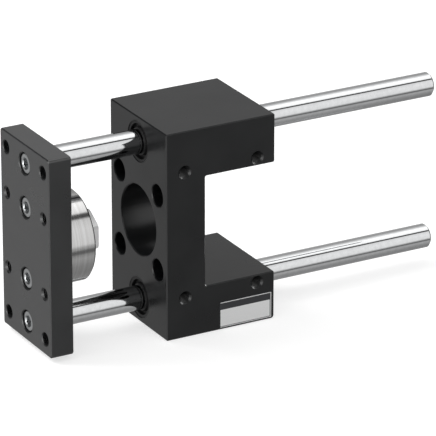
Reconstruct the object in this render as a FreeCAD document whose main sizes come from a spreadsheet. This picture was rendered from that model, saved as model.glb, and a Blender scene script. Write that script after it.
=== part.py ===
import FreeCAD, Part
import math
import os
import Sketcher

# Guide unit for a cylinder of 40 mm bore and 100 mm stroke, drawn with the cylinder retracted.
# A black U-shaped block is bolted to the nose of the cylinder. Two hard steel rods slide in plain
# bushes in its legs and carry a front plate, and a floating coupling behind that plate takes the
# thread of the piston rod.
# Frame: the origin is on the cylinder's axis in the seat of the block, +X points along the rods
# towards the cylinder, +Y across the block and +Z up. Millimetres.

SIZES = (
    ("bolt_square", 38.0, "spacing of the four screws in the cylinder's nose, both ways"),
    ("pilot_bore", 35.0, "bore that centres the neck of the cylinder"),
    ("cylinder_square", 54.0, "side of the cylinder's square end cap"),
    ("cylinder_side_gap", 1.0, "air between the end cap and each leg"),
    ("stroke", 100.0, "travel of the front plate"),
    ("web_thickness", 21.0, "web of the block, between front face and cylinder seat"),
    ("leg_reach", 37.5, "length of the legs past the cylinder seat"),
    ("side_wall", 3.5, "metal beside the counterbores of the cylinder screws"),
    ("bore_inner_wall", 2.0, "metal between a wiper seat and the gap for the cylinder"),
    ("bore_outer_wall", 2.5, "metal between a wiper seat and the top or bottom face"),
    ("head_seat_depth", 11.0, "depth of the counterbores for the cylinder screws"),
    ("inner_corner", 1.0, "radius in the corners of the gap"),
    ("base_corner", 1.5, "radius of the lower rear edge of the block"),
    ("block_edge", 0.5, "chamfer on the outer edges of the block"),
    ("side_front_inset", 10.0, "front side holes, from the front face of the block"),
    ("side_rear_inset", 9.5, "rear side holes, from the ends of the legs"),
    ("side_hole_rise", 4.0, "side holes, from the level of the gap"),
    ("side_hole_depth", 12.0, "full depth of the side holes"),
    ("rod_diameter", 12.0, "guide rods"),
    ("rod_end_margin", 2.5, "rod left behind the legs when the plate is right out"),
    ("rod_end_chamfer", 1.0, "chamfer on the rear end of a rod"),
    ("bush_wall", 3.0, "wall of the plain bushes"),
    ("bush_play", 0.03, "running clearance of a rod in a bush, on the radius"),
    ("felt_length", 10.5, "room for the oil felt between two bushes"),
    ("felt_gap", 0.25, "air round the oil felt"),
    ("wiper_step", 1.0, "step from the bush bore to the wiper seat, on the radius"),
    ("wiper_depth", 4.0, "depth of a wiper seat"),
    ("wiper_recess", 0.4, "wiper below the face of the block"),
    ("wiper_groove", 1.8, "depth of the groove round the lip of a wiper"),
    ("wiper_lip", 1.2, "thickness of the lip at its root"),
    ("wiper_play", 0.05, "gap between lip and rod, on the radius"),
    ("plate_standoff", 48.0, "front plate to front face of the block, retracted"),
    ("plate_side_margin", 6.0, "screw rows of the plate, from its long sides"),
    ("plate_end_margin", 10.0, "rods, from the ends of the plate"),
    ("outer_row_step", 2.0, "outer screw rows of the plate, past the rods"),
    ("head_wall", 4.1, "plate left between a screw head and the end of a rod"),
    ("plate_corner", 1.5, "radius of the corners of the plate"),
    ("plate_edge", 0.5, "chamfer round both faces of the plate"),
    ("rod_seat_depth", 1.3, "seat of a rod in the plate"),
    ("rod_seat_play", 0.02, "clearance of a rod in its seat, on the radius"),
    ("screw_diameter", 6.0, "all screws and tapped holes"),
    ("screw_play", 0.3, "clearance of a screw in a plain hole, on the radius"),
    ("thread_play", 0.05, "clearance of a screw in a tapped hole, on the radius"),
    ("thread_runout", 1.5, "tapped hole past the end of its screw"),
    ("head_diameter", 10.0, "head of a cap screw"),
    ("head_height", 6.0, "height of a screw head"),
    ("head_play", 0.5, "clearance of a head in its counterbore, on the radius"),
    ("head_sink", 0.6, "screw heads below the face of the plate"),
    ("socket_flats", 5.0, "key size of the screws"),
    ("socket_depth", 3.0, "depth of the hexagon socket"),
    ("rod_screw_length", 20.0, "screws that hold the rods, under the head"),
    ("coupling_screw_length", 12.0, "screws that hold the coupling, under the head"),
    ("hole_edge", 0.4, "edge break of the holes"),
    ("piston_thread", 12.0, "thread of the piston rod"),
    ("piston_thread_depth", 17.0, "depth of the piston thread in the stud"),
    ("hex_flats", 19.0, "key size of the coupling stud"),
    ("hex_length", 7.4, "length of the hexagon"),
    ("hex_land", 1.0, "end face of the hexagon outside its key size, on the radius"),
    ("hex_gap", 0.4, "hexagon behind the coupling housing"),
    ("neck_step", 1.0, "neck of the stud outside the key size, on the radius"),
    ("flange_lip", 2.7, "flange of the stud outside its neck, on the radius"),
    ("flange_thickness", 7.0, "flange of the stud"),
    ("washer_thickness", 1.0, "thrust washers on both sides of the flange"),
    ("axial_play", 0.05, "air at each sliding face of the coupling"),
    ("radial_float", 0.5, "travel of the stud off the axis, every way"),
    ("float_play", 0.1, "air left at the end of that travel, on the radius"),
    ("coupling_inner_wall", 1.2, "metal between the pocket and a tapped hole"),
    ("coupling_outer_wall", 1.5, "metal outside a tapped hole"),
    ("coupling_rear_wall", 4.8, "wall that holds the flange in the housing"),
    ("coupling_edge", 1.0, "chamfer on the rim of the coupling housing"),
    ("small_edge", 0.4, "edge break of turned pieces"),
)

# Places that several sub-parts share, as formulas of the size sheet.
HALF_GAP = "(Sizes.cylinder_square / 2 + Sizes.cylinder_side_gap)"
BUSH_SEAT = "(Sizes.rod_diameter / 2 + Sizes.bush_wall)"
WIPER_SEAT = f"({BUSH_SEAT} + Sizes.wiper_step)"
ROD_RISE = f"({HALF_GAP} + Sizes.bore_inner_wall + {WIPER_SEAT})"
HALF_HEIGHT = f"({ROD_RISE} + {WIPER_SEAT} + Sizes.bore_outer_wall)"
HEAD_SEAT = "(Sizes.head_diameter / 2 + Sizes.head_play)"
HALF_WIDTH = f"(Sizes.bolt_square / 2 + {HEAD_SEAT} + Sizes.side_wall)"
BUSH_LENGTH = ("((Sizes.web_thickness + Sizes.leg_reach - Sizes.felt_length) / 2"
               " - Sizes.wiper_depth)")
PLATE_REAR = "(-Sizes.web_thickness - Sizes.plate_standoff)"
HEAD_DEPTH = "(Sizes.head_height + Sizes.head_sink)"
PLATE_THICKNESS = f"({HEAD_DEPTH} + Sizes.head_wall + Sizes.rod_seat_depth)"
CLEAR_HOLE = "(Sizes.screw_diameter + 2 * Sizes.screw_play)"
NECK = "(Sizes.hex_flats / 2 + Sizes.neck_step)"
FLANGE = f"({NECK} + Sizes.flange_lip)"
FLOAT_ROOM = "(Sizes.radial_float + Sizes.float_play)"
POCKET = f"({FLANGE} + {FLOAT_ROOM})"
POCKET_DEPTH = ("(Sizes.flange_thickness + 2 * Sizes.washer_thickness"
                " + 4 * Sizes.axial_play)")
COUPLING_SCREW_RISE = f"({POCKET} + Sizes.coupling_inner_wall + Sizes.screw_diameter / 2)"
COUPLING_RIM = f"({COUPLING_SCREW_RISE} + Sizes.screw_diameter / 2 + Sizes.coupling_outer_wall)"

DRILL_POINT = 118.0
ACROSS_CORNERS = 2 / math.sqrt(3)
NEAR = 0.001


def make_size_sheet(doc):
    """Put every driving dimension into a cell of its own."""
    sheet = doc.addObject("Spreadsheet::Sheet", "Sizes")
    for row, (alias, value, meaning) in enumerate(SIZES, start=1):
        sheet.set(f"A{row}", str(value))
        sheet.setAlias(f"A{row}", alias)
        sheet.set(f"B{row}", meaning)
    doc.recompute()


def make_body(doc, label):
    body = doc.addObject("PartDesign::Body", label)
    body.Label = label
    return body


def place(body, x="0", y="0", z="0"):
    """Bind the place of a sub-part to formulas of the size sheet."""
    for axis, formula in (("x", x), ("y", y), ("z", z)):
        body.setExpression(f"Placement.Base.{axis}", formula)


def origin_plane(body, role):
    return next(item for item in body.Origin.OriginFeatures if item.Role == role)


def sketch_on(body, role, name, offset="0"):
    """Start a sketch on an origin plane of the body, moved along the plane's normal."""
    sketch = body.newObject("Sketcher::SketchObject", name)
    sketch.AttachmentSupport = [(origin_plane(body, role), "")]
    sketch.MapMode = "FlatFace"
    sketch.setExpression("AttachmentOffset.Base.z", offset)
    return sketch


def hold_point(sketch, geometry, point, across, up):
    """Hold a point of the sketch at two formulas, measured from the sketch's origin."""
    for kind, formula in (("DistanceX", across), ("DistanceY", up)):
        constraint = Sketcher.Constraint(kind, -1, 1, geometry, point, 1.0)
        index = sketch.addConstraint(constraint)
        sketch.setExpression(f"Constraints[{index}]", formula)


def draw_outline(sketch, corners):
    """Draw a closed outline of straight edges whose corners are pairs of formulas."""
    count = len(corners)
    start = []
    for number in range(count):
        turn = 2 * math.pi * number / count
        start.append(FreeCAD.Vector(10 * math.cos(turn), 10 * math.sin(turn), 0))
    edges = []
    for number in range(count):
        line = Part.LineSegment(start[number], start[(number + 1) % count])
        edges.append(sketch.addGeometry(line, False))
    for number in range(count):
        following = edges[(number + 1) % count]
        sketch.addConstraint(Sketcher.Constraint("Coincident", edges[number], 2, following, 1))
    for edge, (across, up) in zip(edges, corners):
        hold_point(sketch, edge, 1, across, up)


def draw_circle(sketch, across, up, diameter):
    """Draw a circle whose centre and diameter are formulas."""
    circle = Part.Circle(FreeCAD.Vector(1, 1, 0), FreeCAD.Vector(0, 0, 1), 1)
    geometry = sketch.addGeometry(circle, False)
    hold_point(sketch, geometry, 3, across, up)
    index = sketch.addConstraint(Sketcher.Constraint("Diameter", geometry, 2.0))
    sketch.setExpression(f"Constraints[{index}]", diameter)


def draw_pattern(sketch, half_across, half_up, diameter):
    """Draw four equal circles in a rectangle round the sketch's origin."""
    for across in (f"-{half_across}", half_across):
        for up in (f"-{half_up}", half_up):
            draw_circle(sketch, across, up, diameter)


def add_pad(body, sketch, name, length, symmetric=False, reverse=False):
    pad = body.newObject("PartDesign::Pad", name)
    pad.Profile = sketch
    pad.setExpression("Length", length)
    pad.SideType = "Symmetric" if symmetric else "One side"
    pad.Reversed = reverse
    body.Document.recompute()
    return pad


def check_cut(body, name, before):
    """Stop if a cut has taken nothing away, which shows that it points out of the metal."""
    if body.Shape.Volume > before - NEAR:
        raise ValueError(f"{name} of {body.Label} cuts nothing")


def add_pocket(body, sketch, name, depth=None, reverse=False):
    """Cut a pocket to a depth, or right through where no depth is given."""
    before = body.Shape.Volume
    pocket = body.newObject("PartDesign::Pocket", name)
    pocket.Profile = sketch
    pocket.Reversed = reverse
    if depth is None:
        pocket.Type = "ThroughAll"
    else:
        pocket.Type = "Length"
        pocket.setExpression("Length", depth)
    body.Document.recompute()
    check_cut(body, name, before)
    return pocket


def add_hole(body, sketch, name, diameter, depth=None, cut=None, reverse=False):
    """Drill holes at the circles of a sketch.

    The depth is left out for a through hole. The cut is None, or the type, diameter and depth
    of the counterbore or countersink.
    """
    body.Document.recompute()
    before = body.Shape.Volume
    hole = body.newObject("PartDesign::Hole", name)
    hole.Profile = sketch
    hole.Reversed = reverse
    hole.setExpression("Diameter", diameter)
    if depth is None:
        hole.DepthType = "ThroughAll"
    else:
        hole.DepthType = "Dimension"
        hole.setExpression("Depth", depth)
        hole.DrillPoint = "Angled"
        hole.DrillPointAngle = DRILL_POINT
    if cut is not None:
        kind, cut_diameter, cut_depth = cut
        hole.HoleCutType = kind
        hole.HoleCutCustomValues = True
        hole.setExpression("HoleCutDiameter", cut_diameter)
        if kind == "Counterbore":
            hole.setExpression("HoleCutDepth", cut_depth)
        else:
            hole.HoleCutCountersinkAngle = 90.0
    body.Document.recompute()
    check_cut(body, name, before)
    return hole


def countersink(diameter):
    """Edge break of a hole: a 90 degree countersink a little wider than the hole."""
    return ("Countersink", f"{diameter} + 2 * Sizes.hole_edge", None)


def add_turned(body, name, corners):
    """Turn a profile of (x, radius) formulas about the X axis of the body."""
    sketch = sketch_on(body, "XZ_Plane", f"{name}_profile")
    draw_outline(sketch, corners)
    turned = body.newObject("PartDesign::Revolution", name)
    turned.Profile = sketch
    turned.ReferenceAxis = (sketch, ["H_Axis"])
    turned.Angle = 360.0
    body.Document.recompute()
    return turned


def add_groove(body, name, corners):
    """Turn a profile of (x, radius) formulas away from the body, about its X axis."""
    before = body.Shape.Volume
    sketch = sketch_on(body, "XZ_Plane", f"{name}_profile")
    draw_outline(sketch, corners)
    groove = body.newObject("PartDesign::Groove", name)
    groove.Profile = sketch
    groove.ReferenceAxis = (sketch, ["H_Axis"])
    groove.Angle = 360.0
    body.Document.recompute()
    check_cut(body, name, before)
    return groove


def dress_edges(body, kind, name, size_name, formula, chosen):
    """Fillet or chamfer every edge of the body's tip that the chosen test accepts."""
    body.Document.recompute()
    tip = body.Tip
    names = []
    for number, edge in enumerate(tip.Shape.Edges, start=1):
        if chosen(edge):
            names.append(f"Edge{number}")
    if not names:
        raise ValueError(f"{name} of {body.Label} finds no edge")
    dressed = body.newObject(kind, name)
    dressed.Base = (tip, names)
    dressed.setExpression(size_name, formula)
    body.Document.recompute()
    return dressed


def add_fillet(body, name, radius, chosen):
    return dress_edges(body, "PartDesign::Fillet", name, "Radius", radius, chosen)


def add_chamfer(body, name, width, chosen):
    return dress_edges(body, "PartDesign::Chamfer", name, "Size", width, chosen)


def middle(edge):
    return edge.valueAt((edge.FirstParameter + edge.LastParameter) / 2)


def same(first, second):
    return abs(first - second) < NEAR


def runs_along(edge, axis):
    """True for a straight edge that lies along a main axis."""
    if not isinstance(edge.Curve, Part.Line):
        return False
    return abs(edge.Curve.Direction.dot(axis)) > 1 - NEAR


def is_round(edge, radius):
    return isinstance(edge.Curve, Part.Circle) and same(edge.Curve.Radius, radius)


def value(doc, alias):
    """A driving dimension as a number, for tests on edges."""
    return float(doc.Sizes.get(alias))


def make_block_form(body, doc):
    """The U of the block, with its rounded corners and broken edges."""
    sketch = sketch_on(body, "XZ_Plane", "block_outline")
    front = "-Sizes.web_thickness"
    rear = "Sizes.leg_reach"
    draw_outline(sketch, (
        (front, f"-{HALF_HEIGHT}"),
        (rear, f"-{HALF_HEIGHT}"),
        (rear, f"-{HALF_GAP}"),
        ("0", f"-{HALF_GAP}"),
        ("0", HALF_GAP),
        (rear, HALF_GAP),
        (rear, HALF_HEIGHT),
        (front, HALF_HEIGHT),
    ))
    add_pad(body, sketch, "block_pad", f"2 * {HALF_WIDTH}", symmetric=True)
    across = FreeCAD.Vector(0, 1, 0)
    box = body.Shape.BoundBox
    corner_top = box.ZMin + value(doc, "base_corner")

    def in_gap_corner(edge):
        return runs_along(edge, across) and same(middle(edge).x, 0)

    def at_lower_rear(edge):
        place_of = middle(edge)
        return runs_along(edge, across) and same(place_of.x, box.XMax) and same(place_of.z, box.ZMin)

    def on_outside(edge):
        spot = middle(edge)
        flat_y = same(spot.y, box.YMin) or same(spot.y, box.YMax)
        flat_x = same(spot.x, box.XMin) or same(spot.x, box.XMax)
        crossing = runs_along(edge, across)
        end_of_corner = same(spot.x, box.XMax) and same(spot.z, corner_top)
        return flat_y or (crossing and flat_x and not end_of_corner)

    add_fillet(body, "gap_corners", "Sizes.inner_corner", in_gap_corner)
    add_fillet(body, "lower_rear_corner", "Sizes.base_corner", at_lower_rear)
    add_chamfer(body, "block_edges", "Sizes.block_edge", on_outside)


def cut_cylinder_seat(body, doc):
    """Pilot bore and counterbored screw holes in the web."""
    sketch = sketch_on(body, "YZ_Plane", "pilot_circle", "-Sizes.web_thickness")
    draw_circle(sketch, "0", "0", "Sizes.pilot_bore")
    add_pocket(body, sketch, "pilot_bore", reverse=True)

    pilot_radius = value(doc, "pilot_bore") / 2
    add_chamfer(body, "pilot_edges", "Sizes.block_edge", lambda edge: is_round(edge, pilot_radius))

    sketch = sketch_on(body, "YZ_Plane", "cylinder_screw_circles", "-Sizes.web_thickness")
    half = "Sizes.bolt_square / 2"
    draw_pattern(sketch, half, half, CLEAR_HOLE)
    head_seat = ("Counterbore", f"2 * {HEAD_SEAT}", "Sizes.head_seat_depth")
    add_hole(body, sketch, "cylinder_screw_holes", CLEAR_HOLE, cut=head_seat, reverse=True)
    front = -value(doc, "web_thickness")
    seat_radius = value(doc, "head_diameter") / 2 + value(doc, "head_play")

    def at_head_mouth(edge):
        return is_round(edge, seat_radius) and same(middle(edge).x, front)

    add_chamfer(body, "cylinder_screw_edges", "Sizes.hole_edge", at_head_mouth)


def cut_rod_bores(body, doc):
    """Bush bores through both legs, with a seat for a wiper at each end."""
    sketch = sketch_on(body, "YZ_Plane", "bush_circles", "-Sizes.web_thickness")
    for side in ("-", ""):
        draw_circle(sketch, "0", f"{side}{ROD_RISE}", f"2 * {BUSH_SEAT}")
    add_pocket(body, sketch, "bush_bores", reverse=True)

    ends = (("front", "-Sizes.web_thickness", True), ("rear", "Sizes.leg_reach", False))
    for end, offset, reverse in ends:
        sketch = sketch_on(body, "YZ_Plane", f"{end}_wiper_circles", offset)
        for side in ("-", ""):
            draw_circle(sketch, "0", f"{side}{ROD_RISE}", f"2 * {WIPER_SEAT}")
        add_pocket(body, sketch, f"{end}_wiper_seats", "Sizes.wiper_depth", reverse)

    seat_radius = value(doc, "rod_diameter") / 2 + value(doc, "bush_wall") + value(doc, "wiper_step")
    front = -value(doc, "web_thickness")
    rear = value(doc, "leg_reach")

    def at_mouth(edge):
        spot = middle(edge)
        return is_round(edge, seat_radius) and (same(spot.x, front) or same(spot.x, rear))

    add_chamfer(body, "wiper_seat_edges", "Sizes.hole_edge", at_mouth)


def cut_side_holes(body, doc):
    """Tapped holes in the near side of the block, mirrored to the far side."""
    sketch = sketch_on(body, "XZ_Plane", "side_circles", HALF_WIDTH)
    rise = f"({HALF_GAP} + Sizes.side_hole_rise)"
    columns = (
        "-Sizes.web_thickness + Sizes.side_front_inset",
        "Sizes.leg_reach - Sizes.side_rear_inset",
    )
    for across in columns:
        for up in (f"-{rise}", rise):
            draw_circle(sketch, across, up, "Sizes.screw_diameter")
    hole = add_hole(body, sketch, "near_side_holes", "Sizes.screw_diameter",
                    "Sizes.side_hole_depth", countersink("Sizes.screw_diameter"))
    before = body.Shape.Volume
    mirror = body.newObject("PartDesign::Mirrored", "far_side_holes")
    mirror.Originals = [hole]
    mirror.MirrorPlane = (origin_plane(body, "XZ_Plane"), [""])
    body.Tip = mirror
    doc.recompute()
    check_cut(body, "far_side_holes", before)


def make_guide_body(doc):
    """The block: milled from black anodised aluminium."""
    body = make_body(doc, "guide_body")
    make_block_form(body, doc)
    cut_cylinder_seat(body, doc)
    cut_rod_bores(body, doc)
    cut_side_holes(body, doc)


def make_bush(doc, label, start, rise):
    """A sintered bronze bush, pressed into the bore, with a lead-in at both ends."""
    body = make_body(doc, label)
    inner = "(Sizes.rod_diameter / 2 + Sizes.bush_play)"
    edge = "Sizes.small_edge"
    add_turned(body, "bush_ring", (
        ("0", inner),
        ("0", f"{BUSH_SEAT} - {edge}"),
        (edge, BUSH_SEAT),
        (f"{BUSH_LENGTH} - {edge}", BUSH_SEAT),
        (BUSH_LENGTH, f"{BUSH_SEAT} - {edge}"),
        (BUSH_LENGTH, inner),
    ))
    place(body, x=start, z=rise)


def make_oil_felt(doc, label, rise):
    """A felt ring between two bushes, which holds the oil for the rod."""
    body = make_body(doc, label)
    outer = f"({BUSH_SEAT} - Sizes.felt_gap)"
    inner = "(Sizes.rod_diameter / 2 + Sizes.felt_gap)"
    length = "(Sizes.felt_length - 2 * Sizes.felt_gap)"
    add_turned(body, "felt_ring", (("0", inner), ("0", outer), (length, outer), (length, inner)))
    start = f"-Sizes.web_thickness + Sizes.wiper_depth + {BUSH_LENGTH} + Sizes.felt_gap"
    place(body, x=start, z=rise)


def make_wiper(doc, label, front, rise):
    """A rubber wiper: an outer ring that is pressed into the seat, and a lip round the rod."""
    body = make_body(doc, label)
    inner = "(Sizes.rod_diameter / 2 + Sizes.wiper_play)"
    root = f"({inner} + Sizes.wiper_lip)"
    ring = f"({WIPER_SEAT} - Sizes.wiper_lip)"
    mouth = "Sizes.wiper_recess"
    groove = "(Sizes.wiper_recess + Sizes.wiper_groove)"
    depth = "Sizes.wiper_depth"
    add_turned(body, "wiper_ring", (
        (mouth, WIPER_SEAT),
        (depth, WIPER_SEAT),
        (depth, inner),
        (mouth, inner),
        (mouth, f"{root} - Sizes.wiper_lip / 2"),
        (groove, root),
        (groove, ring),
        (mouth, ring),
    ))
    if front:
        place(body, x="-Sizes.web_thickness", z=rise)
    else:
        turn = FreeCAD.Rotation(FreeCAD.Vector(0, 0, 1), 180)
        body.Placement = FreeCAD.Placement(FreeCAD.Vector(0, 0, 0), turn)
        place(body, x="Sizes.leg_reach", z=rise)


def make_bearing_set(doc, side, rise):
    """Everything that guides one rod in the block, from front to rear."""
    front_start = "-Sizes.web_thickness + Sizes.wiper_depth"
    rear_start = f"Sizes.leg_reach - Sizes.wiper_depth - {BUSH_LENGTH}"
    make_wiper(doc, f"{side}_front_wiper", True, rise)
    make_bush(doc, f"{side}_front_bush", front_start, rise)
    make_oil_felt(doc, f"{side}_oil_felt", rise)
    make_bush(doc, f"{side}_rear_bush", rear_start, rise)
    make_wiper(doc, f"{side}_rear_wiper", False, rise)


def make_guide_rod(doc, label, rise):
    """A hard chromed steel rod, tapped in its front end for the screw in the plate."""
    body = make_body(doc, label)
    radius = "Sizes.rod_diameter / 2"
    tap = "(Sizes.screw_diameter / 2 + Sizes.thread_play)"
    tap_depth = "(Sizes.rod_screw_length - Sizes.head_wall + Sizes.thread_runout)"
    point = f"({tap_depth} + {tap} / tan({DRILL_POINT} / 2))"
    length = ("(Sizes.rod_seat_depth + Sizes.plate_standoff + Sizes.web_thickness"
              " + Sizes.leg_reach + Sizes.stroke + Sizes.rod_end_margin)")
    edge = "Sizes.small_edge"
    add_turned(body, "rod_turned", (
        ("0", f"{tap} + {edge}"),
        ("0", f"{radius} - {edge}"),
        (edge, radius),
        (f"{length} - Sizes.rod_end_chamfer", radius),
        (length, f"{radius} - Sizes.rod_end_chamfer"),
        (length, "0"),
        (point, "0"),
        (tap_depth, tap),
        (edge, tap),
    ))
    place(body, x=f"{PLATE_REAR} - Sizes.rod_seat_depth", z=rise)


def make_front_plate(doc):
    """The front plate: black anodised aluminium, screwed to the rods and the coupling."""
    body = make_body(doc, "front_plate")
    half_width = "(Sizes.bolt_square / 2 + Sizes.plate_side_margin)"
    half_height = f"({ROD_RISE} + Sizes.plate_end_margin)"
    sketch = sketch_on(body, "YZ_Plane", "plate_outline")
    draw_outline(sketch, (
        (f"-{half_width}", f"-{half_height}"),
        (half_width, f"-{half_height}"),
        (half_width, half_height),
        (f"-{half_width}", half_height),
    ))
    add_pad(body, sketch, "plate_pad", PLATE_THICKNESS, reverse=True)
    along = FreeCAD.Vector(1, 0, 0)
    box = body.Shape.BoundBox
    add_fillet(body, "plate_corners", "Sizes.plate_corner", lambda edge: runs_along(edge, along))

    def on_a_face(edge):
        spot = middle(edge)
        return same(spot.x, box.XMin) or same(spot.x, box.XMax)

    add_chamfer(body, "plate_edges", "Sizes.plate_edge", on_a_face)
    front = f"-{PLATE_THICKNESS}"

    sketch = sketch_on(body, "YZ_Plane", "head_circles", front)
    for rise in (ROD_RISE, COUPLING_SCREW_RISE):
        draw_circle(sketch, "0", rise, CLEAR_HOLE)
        draw_circle(sketch, "0", f"-{rise}", CLEAR_HOLE)
    head_seat = ("Counterbore", f"2 * {HEAD_SEAT}", HEAD_DEPTH)
    add_hole(body, sketch, "head_holes", CLEAR_HOLE, cut=head_seat, reverse=True)
    seat_radius = value(doc, "head_diameter") / 2 + value(doc, "head_play")

    def at_head_mouth(edge):
        return is_round(edge, seat_radius) and same(middle(edge).x, box.XMin)

    add_chamfer(body, "head_seat_edges", "Sizes.hole_edge", at_head_mouth)

    sketch = sketch_on(body, "YZ_Plane", "outer_circles", front)
    outer_rise = f"({ROD_RISE} + Sizes.outer_row_step)"
    draw_pattern(sketch, "Sizes.bolt_square / 2", outer_rise, CLEAR_HOLE)
    add_hole(body, sketch, "outer_holes", CLEAR_HOLE, cut=countersink(CLEAR_HOLE), reverse=True)

    sketch = sketch_on(body, "YZ_Plane", "tapped_circles", front)
    half = "Sizes.bolt_square / 2"
    draw_pattern(sketch, half, half, "Sizes.screw_diameter")
    add_hole(body, sketch, "tapped_holes", "Sizes.screw_diameter",
             cut=countersink("Sizes.screw_diameter"), reverse=True)

    sketch = sketch_on(body, "YZ_Plane", "rod_seat_circles")
    seat = "Sizes.rod_diameter + 2 * Sizes.rod_seat_play"
    for side in ("-", ""):
        draw_circle(sketch, "0", f"{side}{ROD_RISE}", seat)
    add_pocket(body, sketch, "rod_seats", "Sizes.rod_seat_depth")
    place(body, x=PLATE_REAR)


def draw_hexagon(sketch, across_flats):
    """Draw a hexagon round the sketch's origin, with corners up and down."""
    corners = []
    for number in range(6):
        turn = 90 + 60 * number
        corner = f"{across_flats} * {ACROSS_CORNERS} / 2"
        corners.append((f"{corner} * cos({turn})", f"{corner} * sin({turn})"))
    draw_outline(sketch, corners)


def make_screw_pair(doc, label, length, rise):
    """Two equal socket head cap screws, above and below the axis."""
    body = make_body(doc, label)
    head = "Sizes.head_diameter / 2"
    shank = "Sizes.screw_diameter / 2"
    edge = "Sizes.small_edge"
    turned = add_turned(body, "screw_turned", (
        ("-Sizes.head_height", "0"),
        ("-Sizes.head_height", f"{head} - {edge}"),
        (f"-Sizes.head_height + {edge}", head),
        ("0", head),
        ("0", shank),
        (f"{length} - {edge}", shank),
        (length, f"{shank} - {edge}"),
        (length, "0"),
    ))
    sketch = sketch_on(body, "YZ_Plane", "socket_outline", "-Sizes.head_height")
    draw_hexagon(sketch, "Sizes.socket_flats")
    socket = add_pocket(body, sketch, "socket", "Sizes.socket_depth", reverse=True)

    pair = body.newObject("PartDesign::LinearPattern", "screw_pair")
    pair.Originals = [turned, socket]
    pair.Direction = (origin_plane(body, "Z_Axis"), [""])
    pair.setExpression("Length", f"2 * {rise}")
    pair.Occurrences = 2
    body.Tip = pair
    doc.recompute()
    under_head = f"{PLATE_REAR} - Sizes.rod_seat_depth - Sizes.head_wall"
    place(body, x=under_head, z=f"-{rise}")


def make_coupling_housing(doc):
    """A turned steel ring with a pocket for the flange of the stud, open to the plate."""
    body = make_body(doc, "coupling_housing")
    thickness = f"({POCKET_DEPTH} + Sizes.coupling_rear_wall)"
    opening = f"({NECK} + {FLOAT_ROOM})"
    edge = "Sizes.small_edge"
    rim_edge = "Sizes.coupling_edge"
    add_turned(body, "housing_turned", (
        ("0", POCKET),
        ("0", f"{COUPLING_RIM} - {edge}"),
        (edge, COUPLING_RIM),
        (f"{thickness} - {rim_edge}", COUPLING_RIM),
        (thickness, f"{COUPLING_RIM} - {rim_edge}"),
        (thickness, f"{opening} + {edge}"),
        (f"{thickness} - {edge}", opening),
        (POCKET_DEPTH, opening),
        (POCKET_DEPTH, POCKET),
    ))
    sketch = sketch_on(body, "YZ_Plane", "tapped_circles")
    tap = "(Sizes.screw_diameter + 2 * Sizes.thread_play)"
    for side in ("-", ""):
        draw_circle(sketch, "0", f"{side}{COUPLING_SCREW_RISE}", tap)
    in_plate = "(Sizes.head_wall + Sizes.rod_seat_depth)"
    depth = f"Sizes.coupling_screw_length - {in_plate} + Sizes.thread_runout"
    add_hole(body, sketch, "tapped_holes", tap, depth, reverse=True)
    place(body, x=PLATE_REAR)


def make_thrust_washer(doc, label, inner, start):
    """A hardened steel washer that the flange of the stud slides on."""
    body = make_body(doc, label)
    add_turned(body, "washer_ring", (
        ("0", inner),
        ("0", FLANGE),
        ("Sizes.washer_thickness", FLANGE),
        ("Sizes.washer_thickness", inner),
    ))
    place(body, x=start)


def make_coupling_stud(doc):
    """The floating stud: a flange in the pocket, a neck, and a hexagon with the piston thread."""
    body = make_body(doc, "coupling_stud")
    edge = "Sizes.small_edge"
    hex_start = ("(Sizes.flange_thickness + Sizes.washer_thickness + 2 * Sizes.axial_play"
                 " + Sizes.coupling_rear_wall + Sizes.hex_gap)")
    hex_end = f"({hex_start} + Sizes.hex_length)"
    add_turned(body, "flange_and_neck", (
        ("0", "0"),
        ("0", f"{FLANGE} - {edge}"),
        (edge, FLANGE),
        (f"Sizes.flange_thickness - {edge}", FLANGE),
        ("Sizes.flange_thickness", f"{FLANGE} - {edge}"),
        ("Sizes.flange_thickness", NECK),
        (hex_start, NECK),
        (hex_start, "0"),
    ))
    sketch = sketch_on(body, "YZ_Plane", "hexagon_outline", hex_start)
    draw_hexagon(sketch, "Sizes.hex_flats")
    add_pad(body, sketch, "hexagon", "Sizes.hex_length")

    land = "(Sizes.hex_flats / 2 + Sizes.hex_land)"
    clear = f"(Sizes.hex_flats * {ACROSS_CORNERS} / 2 + {edge})"
    add_groove(body, "hexagon_chamfer", (
        (hex_end, land),
        (hex_end, clear),
        (f"{hex_end} - ({clear} - {land}) * tan(30)", clear),
    ))
    sketch = sketch_on(body, "YZ_Plane", "thread_circle", hex_end)
    draw_circle(sketch, "0", "0", "Sizes.piston_thread")
    mouth = ("Countersink", f"Sizes.piston_thread + 2 * {edge}", None)
    add_hole(body, sketch, "piston_thread", "Sizes.piston_thread",
             "Sizes.piston_thread_depth", mouth)
    place(body, x=f"{PLATE_REAR} + Sizes.washer_thickness + 2 * Sizes.axial_play")


def make_coupling(doc):
    """The floating coupling behind the plate, in the order of its stack."""
    make_coupling_housing(doc)
    open_bore = "Sizes.piston_thread / 2 + Sizes.coupling_outer_wall"
    make_thrust_washer(doc, "front_thrust_washer", open_bore, f"{PLATE_REAR} + Sizes.axial_play")
    make_coupling_stud(doc)
    behind_flange = (f"{PLATE_REAR} + Sizes.washer_thickness + 3 * Sizes.axial_play"
                     " + Sizes.flange_thickness")
    neck_bore = f"{NECK} + Sizes.float_play"
    make_thrust_washer(doc, "rear_thrust_washer", neck_bore, behind_flange)


def check_model(doc):
    """Stop before anything is written if an object has failed or a solid is not sound."""
    for item in doc.Objects:
        if "Invalid" in item.State or "Error" in item.State:
            raise ValueError(f"{item.Label} has failed: {item.State}")
    for body in doc.findObjects("PartDesign::Body"):
        if body.Shape.isNull() or not body.Shape.isValid() or not body.Shape.Solids:
            raise ValueError(f"{body.Label} is not a sound solid")


def write_parts(doc):
    os.makedirs("parts", exist_ok=True)
    for body in doc.findObjects("PartDesign::Body"):
        body.Shape.exportStep(os.path.join("parts", f"{body.Label}.step"))


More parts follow.
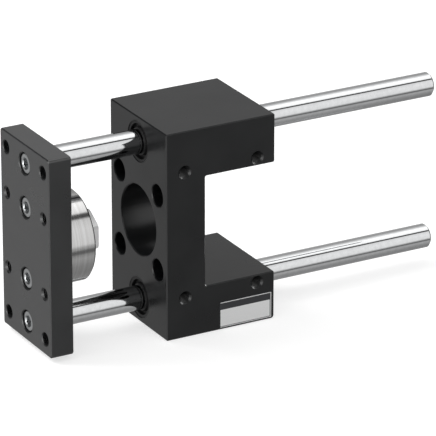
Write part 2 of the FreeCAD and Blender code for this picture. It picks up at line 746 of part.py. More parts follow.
def build():
    doc = FreeCAD.newDocument("GuideUnit")
    make_size_sheet(doc)
    make_guide_body(doc)
    for side, rise in (("upper", ROD_RISE), ("lower", f"-{ROD_RISE}")):
        make_bearing_set(doc, side, rise)
        make_guide_rod(doc, f"{side}_guide_rod", rise)
    make_front_plate(doc)
    make_screw_pair(doc, "rod_screws", "Sizes.rod_screw_length", ROD_RISE)
    make_screw_pair(doc, "coupling_screws", "Sizes.coupling_screw_length", COUPLING_SCREW_RISE)
    make_coupling(doc)
    doc.recompute()
    check_model(doc)
    write_parts(doc)


build()
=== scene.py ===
"""Looks of the cylinder guide unit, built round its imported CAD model.

The file follows the unit as it is put together on the bench: guide body with bushes, felts and wipers,
then rods, front plate, screws and coupling, and last the studio.
"""

import math

import bmesh
import bpy
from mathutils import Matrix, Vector


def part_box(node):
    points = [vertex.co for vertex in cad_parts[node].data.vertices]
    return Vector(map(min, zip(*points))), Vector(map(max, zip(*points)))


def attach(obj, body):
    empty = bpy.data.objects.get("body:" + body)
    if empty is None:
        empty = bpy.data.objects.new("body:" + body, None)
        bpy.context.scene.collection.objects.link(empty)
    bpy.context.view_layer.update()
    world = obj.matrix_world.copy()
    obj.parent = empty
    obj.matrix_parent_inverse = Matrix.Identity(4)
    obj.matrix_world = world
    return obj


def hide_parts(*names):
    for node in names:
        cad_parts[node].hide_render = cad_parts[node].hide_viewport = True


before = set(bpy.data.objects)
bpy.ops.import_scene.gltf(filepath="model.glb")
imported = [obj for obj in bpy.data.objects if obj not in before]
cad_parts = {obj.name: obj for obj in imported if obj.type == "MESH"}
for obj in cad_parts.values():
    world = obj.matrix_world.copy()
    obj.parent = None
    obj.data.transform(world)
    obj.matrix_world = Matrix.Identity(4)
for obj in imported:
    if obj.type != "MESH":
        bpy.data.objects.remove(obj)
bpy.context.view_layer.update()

MM = 0.001


# Guide body
# The U-shaped block that the cylinder is bolted into. It is milled from aluminium plate, blasted to an
# even satin and anodised black. Its shape is the CAD node's own, with every bore, mouth and edge break.


def linear(code):
    """An sRGB hex colour as the linear colour with alpha that Blender's sockets take."""
    parts = [int(code[i : i + 2], 16) / 255 for i in (1, 3, 5)]
    return [p / 12.92 if p <= 0.04045 else ((p + 0.055) / 1.055) ** 2.4 for p in parts] + [1.0]


def add_node(tree, kind, inputs=None, **settings):
    """Adds a node with its settings. An input is given a value, or another node's output to link from."""
    made = tree.nodes.new("ShaderNode" + kind)
    for name, value in settings.items():
        setattr(made, name, value)
    for name, value in (inputs or {}).items():
        if isinstance(value, bpy.types.NodeSocket):
            tree.links.new(value, made.inputs[name])
        else:
            made.inputs[name].default_value = value
    return made


def new_material(name):
    """An empty node material, its output, and the place on the piece that its patterns are drawn by."""
    material = bpy.data.materials.new(name)
    material.use_nodes = True
    tree = material.node_tree
    tree.nodes.clear()
    output = tree.nodes.new("ShaderNodeOutputMaterial")
    return material, tree, output, add_node(tree, "TexCoord").outputs["Object"]


def dress(material, *names):
    """Gives CAD nodes their finish."""
    for name in names:
        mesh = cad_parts[name].data
        mesh.materials.clear()
        mesh.materials.append(material)


def black_anodised(name, dye, faded_dye, roughness, ior, haze=0.0):
    """Blasted aluminium under a black dyed oxide layer.

    The layer is a ceramic, so it isn't metallic, and its gloss is the soft one of the blasted metal below.
    The blasting grit is 0.15 mm and is drawn 0.6 mm coarse, because finer than a pixel it wouldn't show.
    The dye takes a little unevenly over about 20 mm. Haze is the faint veil that a finer blasting leaves.
    """
    material, tree, output, at = new_material(name)
    grit = add_node(tree, "TexNoise", {"Vector": at, "Scale": 1 / (0.6 * MM), "Detail": 2.0})
    clouds = add_node(tree, "TexNoise", {"Vector": at, "Scale": 1 / (20 * MM), "Detail": 3.0})
    tone = add_node(
        tree, "Mix", {0: clouds.outputs["Fac"], 6: linear(dye), 7: linear(faded_dye)}, data_type="RGBA"
    )
    gloss = add_node(tree, "MapRange", {"Value": clouds.outputs["Fac"], "From Min": 0.3, "From Max": 0.7})
    gloss.inputs["To Min"].default_value = roughness - 0.03
    gloss.inputs["To Max"].default_value = roughness + 0.03
    relief = add_node(tree, "Bump", {"Height": grit.outputs["Fac"], "Strength": 0.12, "Distance": 0.03 * MM})
    shader = add_node(
        tree,
        "BsdfPrincipled",
        {"Base Color": tone.outputs[2], "Roughness": gloss.outputs[0], "Normal": relief.outputs[0]},
    )
    shader.inputs["IOR"].default_value = ior
    shader.inputs["Sheen Weight"].default_value = haze
    tree.links.new(shader.outputs[0], output.inputs["Surface"])
    return material


block_finish = black_anodised(
    "black_anodised_blasted_aluminium", "#0e0f10", "#141516", roughness=0.3, ior=1.46
)
dress(block_finish, "guide_body")


# Guide bushes
# Four plain bushes carry the rods, two in each leg. They are sintered from bronze powder and soaked
# in oil, so they look brown, matt and finely pored. They are pressed in behind the wipers' seats.

material, tree, output, at = new_material("oil_soaked_sintered_bronze")
# the pores are 0.1 mm wide and drawn 0.4 mm
pores = add_node(tree, "TexVoronoi", {"Vector": at, "Scale": 1 / (0.4 * MM)})
tone = add_node(tree, "ValToRGB", {"Fac": pores.outputs["Distance"]})
tone.color_ramp.elements[0].color = linear("#4a331c")
tone.color_ramp.elements[0].position = 0.1
tone.color_ramp.elements[1].color = linear("#9a7448")
tone.color_ramp.elements[1].position = 0.45
relief = add_node(tree, "Bump", {"Height": pores.outputs["Distance"], "Strength": 0.3, "Distance": 0.05 * MM})
shader = add_node(
    tree,
    "BsdfPrincipled",
    {"Base Color": tone.outputs[0], "Metallic": 1.0, "Roughness": 0.48, "Normal": relief.outputs[0]},
)
tree.links.new(shader.outputs[0], output.inputs["Surface"])
dress(material, "upper_front_bush", "upper_rear_bush", "lower_front_bush", "lower_rear_bush")


# Oil felts
# A ring of pressed wool felt stands between the two bushes of each rod and keeps oil for them. It is
# off-white gone yellow with oil, and its fibres catch light at the edges.

material, tree, output, at = new_material("oiled_pressed_wool_felt")
# wool fibres are 0.03 mm thick and lie in tufts of about 0.8 mm
tufts = add_node(tree, "TexNoise", {"Vector": at, "Scale": 1 / (0.8 * MM), "Detail": 6.0})
tufts.inputs["Distortion"].default_value = 1.5
tone = add_node(
    tree, "Mix", {0: tufts.outputs["Fac"], 6: linear("#a5916a"), 7: linear("#d8caa6")}, data_type="RGBA"
)
relief = add_node(tree, "Bump", {"Height": tufts.outputs["Fac"], "Strength": 0.8, "Distance": 0.2 * MM})
shader = add_node(
    tree,
    "BsdfPrincipled",
    {"Base Color": tone.outputs[2], "Roughness": 0.95, "Sheen Weight": 0.4, "Normal": relief.outputs[0]},
)
shader.inputs["Sheen Roughness"].default_value = 0.5
tree.links.new(shader.outputs[0], output.inputs["Surface"])
dress(material, "upper_oil_felt", "lower_oil_felt")


# Rod wipers
# Where each rod leaves the block a ring of black nitrile rubber wipes it clean. It is moulded, with a
# groove behind its lip, and sits 0.4 mm below the face. The rubber is darker and duller than the metal.

material, tree, output, at = new_material("moulded_nitrile_rubber")
# the mould's blasted skin has a grain of 0.2 mm, drawn 0.5 mm
skin = add_node(tree, "TexNoise", {"Vector": at, "Scale": 1 / (0.5 * MM), "Detail": 2.0})
gloss = add_node(tree, "MapRange", {"Value": skin.outputs["Fac"], "To Min": 0.45, "To Max": 0.65})
relief = add_node(tree, "Bump", {"Height": skin.outputs["Fac"], "Strength": 0.1, "Distance": 0.03 * MM})
# wax blooms out of the rubber in paler patches of about 4 mm
bloom = add_node(tree, "TexNoise", {"Vector": at, "Scale": 1 / (4 * MM), "Detail": 3.0})
tone = add_node(
    tree, "Mix", {0: bloom.outputs["Fac"], 6: linear("#0f0f10"), 7: linear("#171718")}, data_type="RGBA"
)
shader = add_node(
    tree,
    "BsdfPrincipled",
    {"Base Color": tone.outputs[2], "Roughness": gloss.outputs[0], "Normal": relief.outputs[0], "IOR": 1.52},
)
tree.links.new(shader.outputs[0], output.inputs["Surface"])
dress(material, "upper_front_wiper", "lower_front_wiper", "upper_rear_wiper", "lower_rear_wiper")


# Threads of the block's side holes
# Four M6 holes are tapped in each side of the block, so that it can be screwed to a machine. The CAD
# holes have the thread's outer diameter, and the ridges that the tap leaves stand inwards from them.

NEAR_FACE = -28.0
SIDE_HOLES = [(x, y, z) for y in (NEAR_FACE, -NEAR_FACE) for z in (-32.0, 32.0) for x in (-11.0, 28.0)]
# radius of the hole, radius to the ridge's crest, pitch, and length of thread that can be seen
M6_RADIUS, M6_CREST, M6_PITCH, M6_LENGTH = 3.0, 2.46, 1.0, 10.3
# depths below the face: the cone carries on the hole's edge break from 0.35 mm, and the thread starts
# at 1 mm
CONE_FROM, CONE_OUTER, CONE_INNER, THREAD_FROM = 0.35, 3.05, 2.5, 1.0


def add_thread(bm, start, along, turn_from, length, wall, crest, pitch, per_turn=28):
    """Adds a helical ridge to a mesh, from its wall radius to its crest radius, all in mm.

    start is where its axis begins, along is the direction of that axis, and turn_from one across it.
    The ridge is 7/8 of a pitch wide at its wall and 1/8 at its crest, as in a metric thread, and it fades in
    and out over half a turn.
    """
    start, along, across = Vector(start), Vector(along), Vector(turn_from)
    up = along.cross(across)
    turns = length / pitch
    steps = int(turns * per_turn)
    # the ridge's foot stands this far inside the metal, so that no gap shows
    sunk = 0.05 if wall > crest else -0.05
    rows = []
    for i in range(steps + 1):
        turned = turns * i / steps
        angle = 2 * math.pi * turned
        fade = min(1.0, 2 * turned, 2 * (turns - turned))
        out = across * math.cos(angle) + up * math.sin(angle)
        top = wall + (crest - wall) * fade
        middle = start + along * (pitch * turned)
        profile = ((-7 / 16, wall + sunk), (-1 / 16, top), (1 / 16, top), (7 / 16, wall + sunk))
        row = []
        for shift, radius in profile:
            row.append(bm.verts.new((middle + along * (pitch * shift) + out * radius) * MM))
        rows.append(row)
    for first, second in zip(rows, rows[1:]):
        for j in range(3):
            bm.faces.new((first[j], second[j], second[j + 1], first[j + 1]))
    bm.faces.new(rows[0])
    bm.faces.new(reversed(rows[-1]))


def add_cone(bm, mouth, along, turn_from, outer, inner, count=40):
    """Adds the 45 degree cone that a countersink cuts across the first thread, between two radii in mm."""
    mouth, along, across = Vector(mouth), Vector(along), Vector(turn_from)
    up = along.cross(across)
    rings = []
    # the last ring runs back out into the metal, so that no open edge shows
    for depth, radius in ((0.0, outer), (outer - inner, inner), (outer - inner + 0.3, inner + 0.3)):
        ring = []
        for i in range(count):
            angle = 2 * math.pi * i / count
            out = across * math.cos(angle) + up * math.sin(angle)
            ring.append(bm.verts.new((mouth + along * depth + out * radius) * MM))
        rings.append(ring)
    for first, second in zip(rings, rings[1:]):
        for i in range(count):
            j = (i + 1) % count
            bm.faces.new((first[i], first[j], second[j], second[i]))


def make_piece(name, bm, material, body, sharp=35, place=None):
    """Turns a mesh into a piece that rides on a body. Edges sharper than the given angle stay crisp."""
    bmesh.ops.recalc_face_normals(bm, faces=bm.faces)
    mesh = bpy.data.meshes.new(name)
    bm.to_mesh(mesh)
    bm.free()
    mesh.materials.append(material)
    mesh.shade_smooth()
    mesh.set_sharp_from_angle(angle=math.radians(sharp))
    piece = bpy.data.objects.new(name, mesh)
    bpy.context.scene.collection.objects.link(piece)
    if place:
        piece.location = [c * MM for c in place]
    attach(piece, body)
    return piece


bm = bmesh.new()
for x, y, z in SIDE_HOLES:
    inward = -1 if y > 0 else 1
    add_cone(bm, (x, y + inward * CONE_FROM, z), (0, inward, 0), (1, 0, 0), CONE_OUTER, CONE_INNER)
    start = (x, y + inward * THREAD_FROM, z)
    add_thread(bm, start, (0, inward, 0), (1, 0, 0), M6_LENGTH, M6_RADIUS, M6_CREST, M6_PITCH)
make_piece("side_hole_threads", bm, block_finish, "block")


# Label
# A sheet of polyester film is stuck to the near side of the lower leg. It is printed black, with a bare
# silver panel below a dark strip, and with a silver line along three of its edges.

LABEL_LEFT, LABEL_RIGHT = 7.6, 36.0
LABEL_TOP, LABEL_BOTTOM = -38.3, -51.6
PANEL_TOP = -42.3
LINE_TOP, LINE_WIDTH = -38.5, 0.35
# thickness of the film and of the ink on it, and straight steps in a rounded corner
FILM, INK, CORNER_STEPS = 0.1, 0.05, 4


def add_slab(bm, left, right, low, high, depth, thick, corner):
    """Adds a thin sheet with rounded corners that lies along the near face, depth mm above it."""
    outline = []
    for cx, cz, turn in ((right, high, 0), (left, high, 90), (left, low, 180), (right, low, 270)):
        mx = cx - corner if cx == right else cx + corner
        mz = cz - corner if cz == high else cz + corner
        for step in range(CORNER_STEPS + 1):
            a = math.radians(turn + 90 * step / CORNER_STEPS)
            outline.append((mx + corner * math.cos(a), mz + corner * math.sin(a)))
    back = [bm.verts.new(Vector((x, NEAR_FACE - depth, z)) * MM) for x, z in outline]
    front = [bm.verts.new(Vector((x, NEAR_FACE - depth - thick, z)) * MM) for x, z in outline]
    for i in range(len(outline)):
        j = (i + 1) % len(outline)
        bm.faces.new((back[i], back[j], front[j], front[i]))
    bm.faces.new(back)
    bm.faces.new(front)


# the black print is a gloss ink on the film, which shows a faint orange peel of 1.5 mm
material, tree, output, at = new_material("black_printed_polyester_film")
peel = add_node(tree, "TexNoise", {"Vector": at, "Scale": 1 / (1.5 * MM), "Detail": 1.0})
relief = add_node(tree, "Bump", {"Height": peel.outputs["Fac"], "Strength": 0.05, "Distance": 0.05 * MM})
shader = add_node(
    tree,
    "BsdfPrincipled",
    {"Base Color": linear("#28292c"), "Roughness": 0.3, "Normal": relief.outputs[0], "IOR": 1.57},
)
tree.links.new(shader.outputs[0], output.inputs["Surface"])
bm = bmesh.new()
add_slab(bm, LABEL_LEFT, LABEL_RIGHT, LABEL_BOTTOM, LABEL_TOP, 0.0, FILM, 0.6)
make_piece("label_film", bm, material, "block")

# the silver is a pale grey ink with aluminium flake under matt varnish, which hides the metal's gloss and
# leaves a fine sparkle of 0.3 mm
material, tree, output, at = new_material("silver_varnished_polyester_film")
flake = add_node(tree, "TexNoise", {"Vector": at, "Scale": 1 / (0.3 * MM), "Detail": 1.0})
tone = add_node(
    tree, "Mix", {0: flake.outputs["Fac"], 6: linear("#d2d3d3"), 7: linear("#e8e8e8")}, data_type="RGBA"
)
shader = add_node(tree, "BsdfPrincipled", {"Base Color": tone.outputs[2], "Roughness": 0.45})
tree.links.new(shader.outputs[0], output.inputs["Surface"])
bm = bmesh.new()
add_slab(bm, LABEL_LEFT + 0.4, LABEL_RIGHT - 1.0, LABEL_BOTTOM + 0.8, PANEL_TOP, FILM, INK, 0.3)
make_piece("label_panel", bm, material, "block")
bm = bmesh.new()
for left, right, low, high in (
    (LABEL_LEFT + 0.4, LABEL_RIGHT - 0.2, LINE_TOP - LINE_WIDTH, LINE_TOP),
    (LABEL_RIGHT - 0.2 - LINE_WIDTH, LABEL_RIGHT - 0.2, LABEL_BOTTOM + 0.2, LINE_TOP - LINE_WIDTH),
    (LABEL_LEFT + 0.4, LABEL_RIGHT - 0.2 - LINE_WIDTH, LABEL_BOTTOM + 0.2, LABEL_BOTTOM + 0.5),
):
    add_slab(bm, left, right, low, high, FILM, INK, 0.1)
make_piece("label_border", bm, material, "block")


# Guide rods
# Two steel rods of 12 mm, ground, hard chromed and polished. Chrome is a neutral, slightly dark
# mirror. The grinding wheel leaves rings round the rod, 0.05 mm apart and drawn 0.7 mm apart.

material, tree, output, at = new_material("polished_hard_chromed_steel")
split = add_node(tree, "SeparateXYZ", {0: at})
stretched = add_node(tree, "CombineXYZ", {"X": split.outputs["X"]})
rings = add_node(tree, "TexNoise", {"Vector": stretched.outputs[0], "Scale": 1 / (0.7 * MM), "Detail": 3.0})
# the polish is a little uneven over about 25 mm
drift = add_node(tree, "TexNoise", {"Vector": at, "Scale": 1 / (25 * MM), "Detail": 2.0})
gloss = add_node(tree, "MapRange", {"Value": drift.outputs["Fac"], "From Min": 0.3, "From Max": 0.7})
gloss.inputs["To Min"].default_value = 0.06
gloss.inputs["To Max"].default_value = 0.1
relief = add_node(tree, "Bump", {"Height": rings.outputs["Fac"], "Strength": 0.05, "Distance": 0.01 * MM})
# handling and oil leave the chrome faintly mottled, in spots of about 2 mm
mottle = add_node(tree, "TexNoise", {"Vector": at, "Scale": 1 / (2 * MM), "Detail": 3.0})
spots = add_node(tree, "MapRange", {"Value": mottle.outputs["Fac"], "From Min": 0.3, "From Max": 0.7})
tone = add_node(
    tree, "Mix", {0: spots.outputs[0], 6: linear("#c2c3c4"), 7: linear("#cbcccd")}, data_type="RGBA"
)
shader = add_node(
    tree,
    "BsdfPrincipled",
    {
        "Base Color": tone.outputs[2],
        "Metallic": 1.0,
        "Roughness": gloss.outputs[0],
        "Normal": relief.outputs[0],
    },
)
tree.links.new(shader.outputs[0], output.inputs["Surface"])
dress(material, "upper_guide_rod", "lower_guide_rod")


# Front plate
# The plate that carries the load. It is milled, blasted and anodised like the block. Its four inner
# holes are tapped M6 right through, so their threads show from both sides.

plate_finish = black_anodised(
    "black_anodised_blasted_aluminium_plate", "#131415", "#191a1b", roughness=0.3, ior=1.65, haze=0.08
)
dress(plate_finish, "front_plate")
PLATE_FRONT = -81.0
bm = bmesh.new()
for y in (-19.0, 19.0):
    for z in (-19.0, 19.0):
        add_cone(bm, (PLATE_FRONT + CONE_FROM, y, z), (1, 0, 0), (0, 1, 0), CONE_OUTER, CONE_INNER)
        start = (PLATE_FRONT + THREAD_FROM, y, z)
        add_thread(bm, start, (1, 0, 0), (0, 1, 0), M6_LENGTH, M6_RADIUS, M6_CREST, M6_PITCH)
make_piece("plate_hole_threads", bm, plate_finish, "carriage")


# Cap screws
# Four M6 socket head screws hold the plate, two to the rods and two to the coupling. They are cold
# headed with a knurled side and a pressed hexagon socket, rolled with a thread, and bright zinc plated.
# The zinc is a pale, cool grey with a softer gloss than chrome, and spotty over about 1.5 mm.

material, tree, output, at = new_material("zinc_plated_cold_headed_steel")
split = add_node(tree, "SeparateXYZ", {0: at})
around = add_node(tree, "CombineXYZ", {"Y": split.outputs["Y"], "Z": split.outputs["Z"]})
radius = add_node(tree, "VectorMath", {0: around.outputs[0]}, operation="LENGTH")
ringed = add_node(tree, "CombineXYZ", {"X": radius.outputs["Value"]})
# the header's die leaves rings on the head, drawn 0.3 mm apart
rings = add_node(tree, "TexNoise", {"Vector": ringed.outputs[0], "Scale": 1 / (0.3 * MM), "Detail": 2.0})
spots = add_node(tree, "TexNoise", {"Vector": at, "Scale": 1 / (1.5 * MM), "Detail": 3.0})
tone = add_node(
    tree, "Mix", {0: spots.outputs["Fac"], 6: linear("#a6a8a9"), 7: linear("#cdcfd0")}, data_type="RGBA"
)
relief = add_node(tree, "Bump", {"Height": rings.outputs["Fac"], "Strength": 0.25, "Distance": 0.02 * MM})
shader = add_node(
    tree,
    "BsdfPrincipled",
    {"Base Color": tone.outputs[2], "Metallic": 1.0, "Roughness": 0.28, "Normal": relief.outputs[0]},
)
tree.links.new(shader.outputs[0], output.inputs["Surface"])

HEAD_TOP, HEAD_RADIUS, HEAD_HEIGHT = PLATE_FRONT + 0.6, 5.0, 6.0
SHANK_CORE, SHANK_CREST = 2.5, 2.95
SOCKET_HALF, SOCKET_DEPTH, SOCKET_MOUTH = 2.5, 3.0, 3.1
KNURLS, POINTS_PER_KNURL, KNURL_DEPTH = 42, 4, 0.16


def add_cap_screw(bm, shank):
    """Adds a screw whose head's top lies at the origin and whose shank points along +X."""
    count = KNURLS * POINTS_PER_KNURL
    angles = [2 * math.pi * i / count for i in range(count)]

    def flat(a):
        """The socket's radius: its flats face along Y and every 60 degrees on."""
        sixth = math.pi / 3
        return SOCKET_HALF / math.cos(a - sixth * round(a / sixth))

    def knurl(i):
        """The knurled side's radius: half of each knurl stands up, and half is pressed in."""
        return HEAD_RADIUS if i % POINTS_PER_KNURL < POINTS_PER_KNURL / 2 else HEAD_RADIUS - KNURL_DEPTH

    def ring(spots):
        """A ring of points, one for each angle, at its X and its radius."""
        points = []
        for a, (x, r) in zip(angles, spots):
            points.append(bm.verts.new(Vector((x, r * math.cos(a), r * math.sin(a))) * MM))
        return points

    rings = [
        # the socket, from the cone in its bottom up to its mouth
        ring([(SOCKET_DEPTH + 0.5, 0.4)] * count),
        ring([(SOCKET_DEPTH, 2.2)] * count),
        ring([(SOCKET_DEPTH, flat(a)) for a in angles]),
        ring([(SOCKET_MOUTH - flat(a), flat(a)) for a in angles]),
        ring([(0.0, SOCKET_MOUTH)] * count),
        # the head, over its rounded edge and down its knurled side
        ring([(0.0, HEAD_RADIUS - 0.7)] * count),
        ring([(0.18, HEAD_RADIUS - 0.32)] * count),
        ring([(0.6, HEAD_RADIUS - KNURL_DEPTH)] * count),
        ring([(0.75, knurl(i)) for i in range(count)]),
        ring([(HEAD_HEIGHT - 0.35, knurl(i)) for i in range(count)]),
        ring([(HEAD_HEIGHT - 0.2, HEAD_RADIUS - KNURL_DEPTH)] * count),
        ring([(HEAD_HEIGHT, HEAD_RADIUS - 0.4)] * count),
        # the shank, from the curve under the head to its chamfered end
        ring([(HEAD_HEIGHT, 3.2)] * count),
        ring([(HEAD_HEIGHT + 0.3, SHANK_CREST)] * count),
        ring([(HEAD_HEIGHT + 0.9, SHANK_CREST)] * count),
        ring([(HEAD_HEIGHT + 1.3, SHANK_CORE)] * count),
        ring([(HEAD_HEIGHT + shank - 0.6, SHANK_CORE)] * count),
        ring([(HEAD_HEIGHT + shank, 2.0)] * count),
    ]
    for first, second in zip(rings, rings[1:]):
        for i in range(count):
            j = (i + 1) % count
            bm.faces.new((first[i], first[j], second[j], second[i]))
    bm.faces.new(rings[0])
    bm.faces.new(rings[-1])
    start = (HEAD_HEIGHT + 1.6, 0, 0)
    add_thread(bm, start, (1, 0, 0), (0, 1, 0), shank - 2.2, SHANK_CORE, SHANK_CREST, M6_PITCH)


for name, node, z, shank in (
    ("upper_rod_screw", "rod_screws", 40.0, 20.0),
    ("lower_rod_screw", "rod_screws", -40.0, 20.0),
    ("upper_coupling_screw", "coupling_screws", 18.0, 12.0),
    ("lower_coupling_screw", "coupling_screws", -18.0, 12.0),
):
    bm = bmesh.new()
    add_cap_screw(bm, shank)
    screw = make_piece(name, bm, material, "carriage", place=(HEAD_TOP, 0.0, z))
    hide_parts(node)


# Coupling housing
# The disc behind the plate, turned from free-cutting steel and left bright. The turning tool leaves
# fine grooves round its rim and rings on its faces, 0.08 mm apart and drawn 0.3 mm apart.


def turned_steel(name, dull, bright, roughness, groove):
    """Bright steel with the grooves of a tool round the unit's own axis, drawn so many mm apart.

    The tool rubs as it feeds, which leaves duller and brighter bands about 1.5 mm wide.
    """
    material, tree, output, at = new_material(name)
    split = add_node(tree, "SeparateXYZ", {0: at})
    around = add_node(tree, "CombineXYZ", {"Y": split.outputs["Y"], "Z": split.outputs["Z"]})
    radius = add_node(tree, "VectorMath", {0: around.outputs[0]}, operation="LENGTH")
    across = add_node(tree, "CombineXYZ", {"X": split.outputs["X"], "Y": radius.outputs["Value"]})
    grooves = add_node(
        tree, "TexNoise", {"Vector": across.outputs[0], "Scale": 1 / (groove * MM), "Detail": 3.0}
    )
    gloss = add_node(tree, "MapRange", {"Value": grooves.outputs["Fac"], "From Min": 0.3, "From Max": 0.7})
    gloss.inputs["To Min"].default_value = roughness - 0.05
    gloss.inputs["To Max"].default_value = roughness + 0.05
    relief = add_node(
        tree, "Bump", {"Height": grooves.outputs["Fac"], "Strength": 0.04, "Distance": 0.02 * MM}
    )
    feed = add_node(tree, "TexNoise", {"Vector": across.outputs[0], "Scale": 1 / (1.5 * MM), "Detail": 2.0})
    bands = add_node(tree, "MapRange", {"Value": feed.outputs["Fac"], "From Min": 0.3, "From Max": 0.7})
    tone = add_node(tree, "Mix", {0: bands.outputs[0], 6: linear(dull), 7: linear(bright)}, data_type="RGBA")
    shader = add_node(
        tree,
        "BsdfPrincipled",
        {
            "Base Color": tone.outputs[2],
            "Metallic": 1.0,
            "Roughness": gloss.outputs[0],
            "Normal": relief.outputs[0],
        },
    )
    tree.links.new(shader.outputs[0], output.inputs["Surface"])
    return material


housing_finish = turned_steel(
    "bright_turned_free_cutting_steel", "#abaaa9", "#bebebe", roughness=0.13, groove=0.3
)
dress(housing_finish, "coupling_housing")


# Thrust washers
# Two washers of hardened steel hold the stud's flange between them and let it float. They are ground
# in rings, drawn 0.4 mm apart, and a little darker than the turned parts.

washer_finish = turned_steel("hardened_ground_steel", "#a09f9f", "#b2b1b1", roughness=0.22, groove=0.4)
dress(washer_finish, "front_thrust_washer", "rear_thrust_washer")


# Coupling stud
# The stud takes the thread of the cylinder's rod, M12 with a pitch of 1.25 mm, and has a hexagon for the
# spanner. It is turned and milled from steel, paler and duller than the disc, with marks drawn 0.6 mm apart.

stud_finish = turned_steel("bright_milled_steel", "#dfdfdf", "#ededed", roughness=0.4, groove=0.6)
dress(stud_finish, "coupling_stud")
bm = bmesh.new()
HEXAGON_END = -47.2
M12_RADIUS, M12_CREST, M12_PITCH, M12_LENGTH = 6.0, 5.32, 1.25, 14.7
M12_CONE_OUTER, M12_CONE_INNER, M12_FROM = 6.05, 5.35, 1.7
mouth = (HEXAGON_END - CONE_FROM, 0, 0)
add_cone(bm, mouth, (-1, 0, 0), (0, 1, 0), M12_CONE_OUTER, M12_CONE_INNER, count=60)
start = (HEXAGON_END - M12_FROM, 0, 0)
add_thread(bm, start, (-1, 0, 0), (0, 1, 0), M12_LENGTH, M12_RADIUS, M12_CREST, M12_PITCH, per_turn=40)
make_piece("stud_thread", bm, stud_finish, "stud")


# Floor
# A plain pale sheet of matt laminate on which the block stands. The camera sees it white, and darker
# only where the unit keeps the light off it.

material, tree, output, at = new_material("pale_matt_laminate")
path = add_node(tree, "LightPath")
paper = add_node(tree, "BsdfDiffuse", {"Color": linear("#c4c4c4")})
# the lamps' light ends about a metre away, and the sheet stays white beyond it
away = add_node(tree, "VectorMath", {0: at}, operation="LENGTH")
whiteness = add_node(tree, "MapRange", {"Value": away.outputs["Value"], "From Min": 0.3, "From Max": 1.5})
whiteness.inputs["To Min"].default_value = 0.62
lift = add_node(tree, "Emission", {"Color": linear("#ffffff"), "Strength": whiteness.outputs[0]})
both = add_node(tree, "AddShader", {0: paper.outputs[0], 1: lift.outputs[0]})
pick = add_node(
    tree, "MixShader", {0: path.outputs["Is Camera Ray"], 1: paper.outputs[0], 2: both.outputs[0]}
)
tree.links.new(pick.outputs[0], output.inputs["Surface"])
bm = bmesh.new()
bmesh.ops.create_grid(bm, x_segments=8, y_segments=8, size=6.0)
mesh = bpy.data.meshes.new("floor")
bm.to_mesh(mesh)
bm.free()
mesh.materials.append(material)
floor = bpy.data.objects.new("floor", mesh)
floor.location.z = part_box("guide_body")[0].z
bpy.context.scene.collection.objects.link(floor)
# the photograph's metal reflects a tent all round and no floor, as if the unit hung clear of everything
floor.visible_glossy = False


# Studio light
# A white tent with soft boxes that run along the rods: one overhead, one at the near side, and narrow
# gaps between them, which draw the dark lines in the chrome. Shown to the camera it is plain white.

world = bpy.data.worlds.new("studio")
bpy.context.scene.world = world
world.use_nodes = True
tree = world.node_tree
tree.nodes.clear()
output = tree.nodes.new("ShaderNodeOutputWorld")
at = add_node(tree, "TexCoord").outputs["Generated"]
path = add_node(tree, "LightPath")
split = add_node(tree, "SeparateXYZ", {0: at})
nearer = add_node(tree, "Math", {0: split.outputs["Y"], 1: -1.0}, operation="MULTIPLY")
swing = add_node(tree, "Math", {0: split.outputs["Z"], 1: nearer.outputs[0]}, operation="ARCTAN2")
round_rods = add_node(
    tree, "MapRange", {"Value": swing.outputs[0], "From Min": -math.pi, "From Max": math.pi}
)
along_rods = add_node(tree, "MapRange", {"Value": split.outputs["X"], "From Min": -1.0, "From Max": 1.0})


def grey_ramp(place, stops, full):
    """A colour ramp of greys over a place from 0 to 1. Its white stands for the brightness in full."""
    ramp = add_node(tree, "ValToRGB", {"Fac": place.outputs[0]})
    elements = ramp.color_ramp.elements
    while len(elements) < len(stops):
        elements.new(0.5)
    for element, (spot, level) in zip(elements, stops):
        element.position = spot
    # a stop that moves can change places with another, so the greys are set once all of them stand
    for element, (spot, level) in zip(elements, stops):
        element.color = (level / full, level / full, level / full, 1)
    return ramp.outputs[0]


# round the rods, in degrees: the near horizon is 0, the top 90, straight down -90, and the far horizon
# 180 and -180
AROUND = [
    (-180, 0.5), (-150, 0.52), (-120, 0.38), (-86, 0.36), (-65, 0.42), (-42, 0.6), (-32, 0.45),
    (-29, 0.2), (-22, 0.2), (-19, 0.55), (-14, 0.65), (-8, 1.2), (30, 1.3), (54, 1.15),
    (57, 0.1), (67, 0.1), (71, 1.6), (98, 2.0), (122, 0.95), (140, 0.5), (180, 0.5),
]
AROUND_WHITE, ALONG_WHITE = 2.0, 3.0
tent = grey_ramp(round_rods, [((degrees + 180) / 360, level) for degrees, level in AROUND], AROUND_WHITE)
# along the rods, from straight left (-1) to straight right (1): on the near side a lamp stands at the left
# and the camera looks in through a gap beside it, and the far left corner above and the far right corner
# below stay dark, which draws dark edges
NEAR_SIDE = [(-1.0, 3.0), (-0.76, 3.0), (-0.62, 0.3), (-0.3, 0.3), (0.0, 1.0), (1.0, 1.0)]
FAR_ABOVE = [(-1.0, 0.2), (-0.3, 0.2), (0.2, 1.0), (1.0, 1.0)]
FAR_BELOW = [(-1.0, 1.0), (0.48, 1.0), (0.56, 0.3), (1.0, 0.3)]
near_side, far_above, far_below = (
    grey_ramp(along_rods, [((x + 1) / 2, level) for x, level in stops], ALONG_WHITE)
    for stops in (NEAR_SIDE, FAR_ABOVE, FAR_BELOW)
)
above = add_node(tree, "MapRange", {"Value": split.outputs["Z"], "From Min": -0.1, "From Max": 0.25})
near = add_node(tree, "MapRange", {"Value": nearer.outputs[0], "From Min": -0.1, "From Max": 0.3})
far_side = add_node(tree, "Mix", {0: above.outputs[0], 2: far_below, 3: far_above}, data_type="FLOAT")
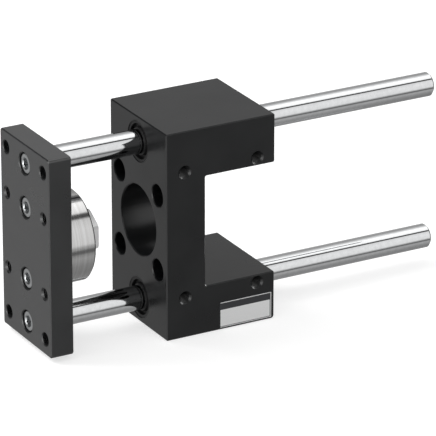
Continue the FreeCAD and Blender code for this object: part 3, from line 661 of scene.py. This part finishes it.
ends = add_node(tree, "Mix", {0: near.outputs[0], 2: far_side.outputs[0], 3: near_side}, data_type="FLOAT")
around = add_node(tree, "Math", {0: ends.outputs[0], 1: AROUND_WHITE * ALONG_WHITE}, operation="MULTIPLY")
tented = add_node(tree, "Background", {"Color": tent, "Strength": around.outputs[0]})
# a small round lamp at the right, nearly in line with the rods and 11 to 20 degrees in radius, lights one
# side of each hole's mouth
toward = add_node(tree, "VectorMath", {0: at, 1: (0.96, -0.2, 0.2)}, operation="DOT_PRODUCT")
round_lamp = add_node(
    tree, "MapRange", {"Value": toward.outputs["Value"], "From Min": 0.94, "From Max": 0.98}
)
round_lamp.inputs["To Max"].default_value = 9.0
spot = add_node(tree, "Background", {"Color": linear("#ffffff"), "Strength": round_lamp.outputs[0]})
seen = add_node(tree, "AddShader", {0: tented.outputs[0], 1: spot.outputs[0]})
fill = add_node(tree, "Background", {"Color": linear("#ffffff"), "Strength": 0.5})
white = add_node(tree, "Background", {"Color": linear("#ffffff"), "Strength": 1.0})
shiny = add_node(
    tree, "MixShader", {0: path.outputs["Is Glossy Ray"], 1: fill.outputs[0], 2: seen.outputs[0]}
)
shown = add_node(
    tree, "MixShader", {0: path.outputs["Is Camera Ray"], 1: shiny.outputs[0], 2: white.outputs[0]}
)
tree.links.new(shown.outputs[0], output.inputs["Surface"])

for name, spot, size, power in (
    ("overhead_soft_box", (-0.2, 0.15, 1.4), (1.6, 1.2), 6.0),
    ("far_left_soft_box", (-0.6, 0.5, 0.6), (0.5, 0.5), 6.5),
    ("near_soft_box", (0.25, -1.0, 0.18), (0.9, 0.4), 3.3),
):
    lamp = bpy.data.lights.new(name, "AREA")
    lamp.shape = "RECTANGLE"
    lamp.size, lamp.size_y = size
    lamp.energy = power
    holder = bpy.data.objects.new(name, lamp)
    holder.location = spot
    holder.rotation_euler = (-Vector(spot)).to_track_quat("-Z", "Y").to_euler()
    # the metal sees the tent's own soft boxes instead, and the camera sees neither
    holder.visible_glossy = False
    holder.visible_camera = False
    bpy.context.scene.collection.objects.link(holder)


# Camera
# The photograph's viewing angle: 29 degrees round from the near side towards the plate, and 22 degrees above.

camera = bpy.data.cameras.new("camera")
camera.lens = 351.7
camera.clip_end = 20.0
viewer = bpy.data.objects.new("camera", camera)
viewer.location = (-0.89685, -1.65805, 0.76606)
aim = Vector((0.016458, -0.010422, -0.002784))
viewer.rotation_euler = (aim - viewer.location).to_track_quat("-Z", "Y").to_euler()
bpy.context.scene.collection.objects.link(viewer)
bpy.context.scene.camera = viewer
bpy.context.scene.view_settings.view_transform = "Standard"
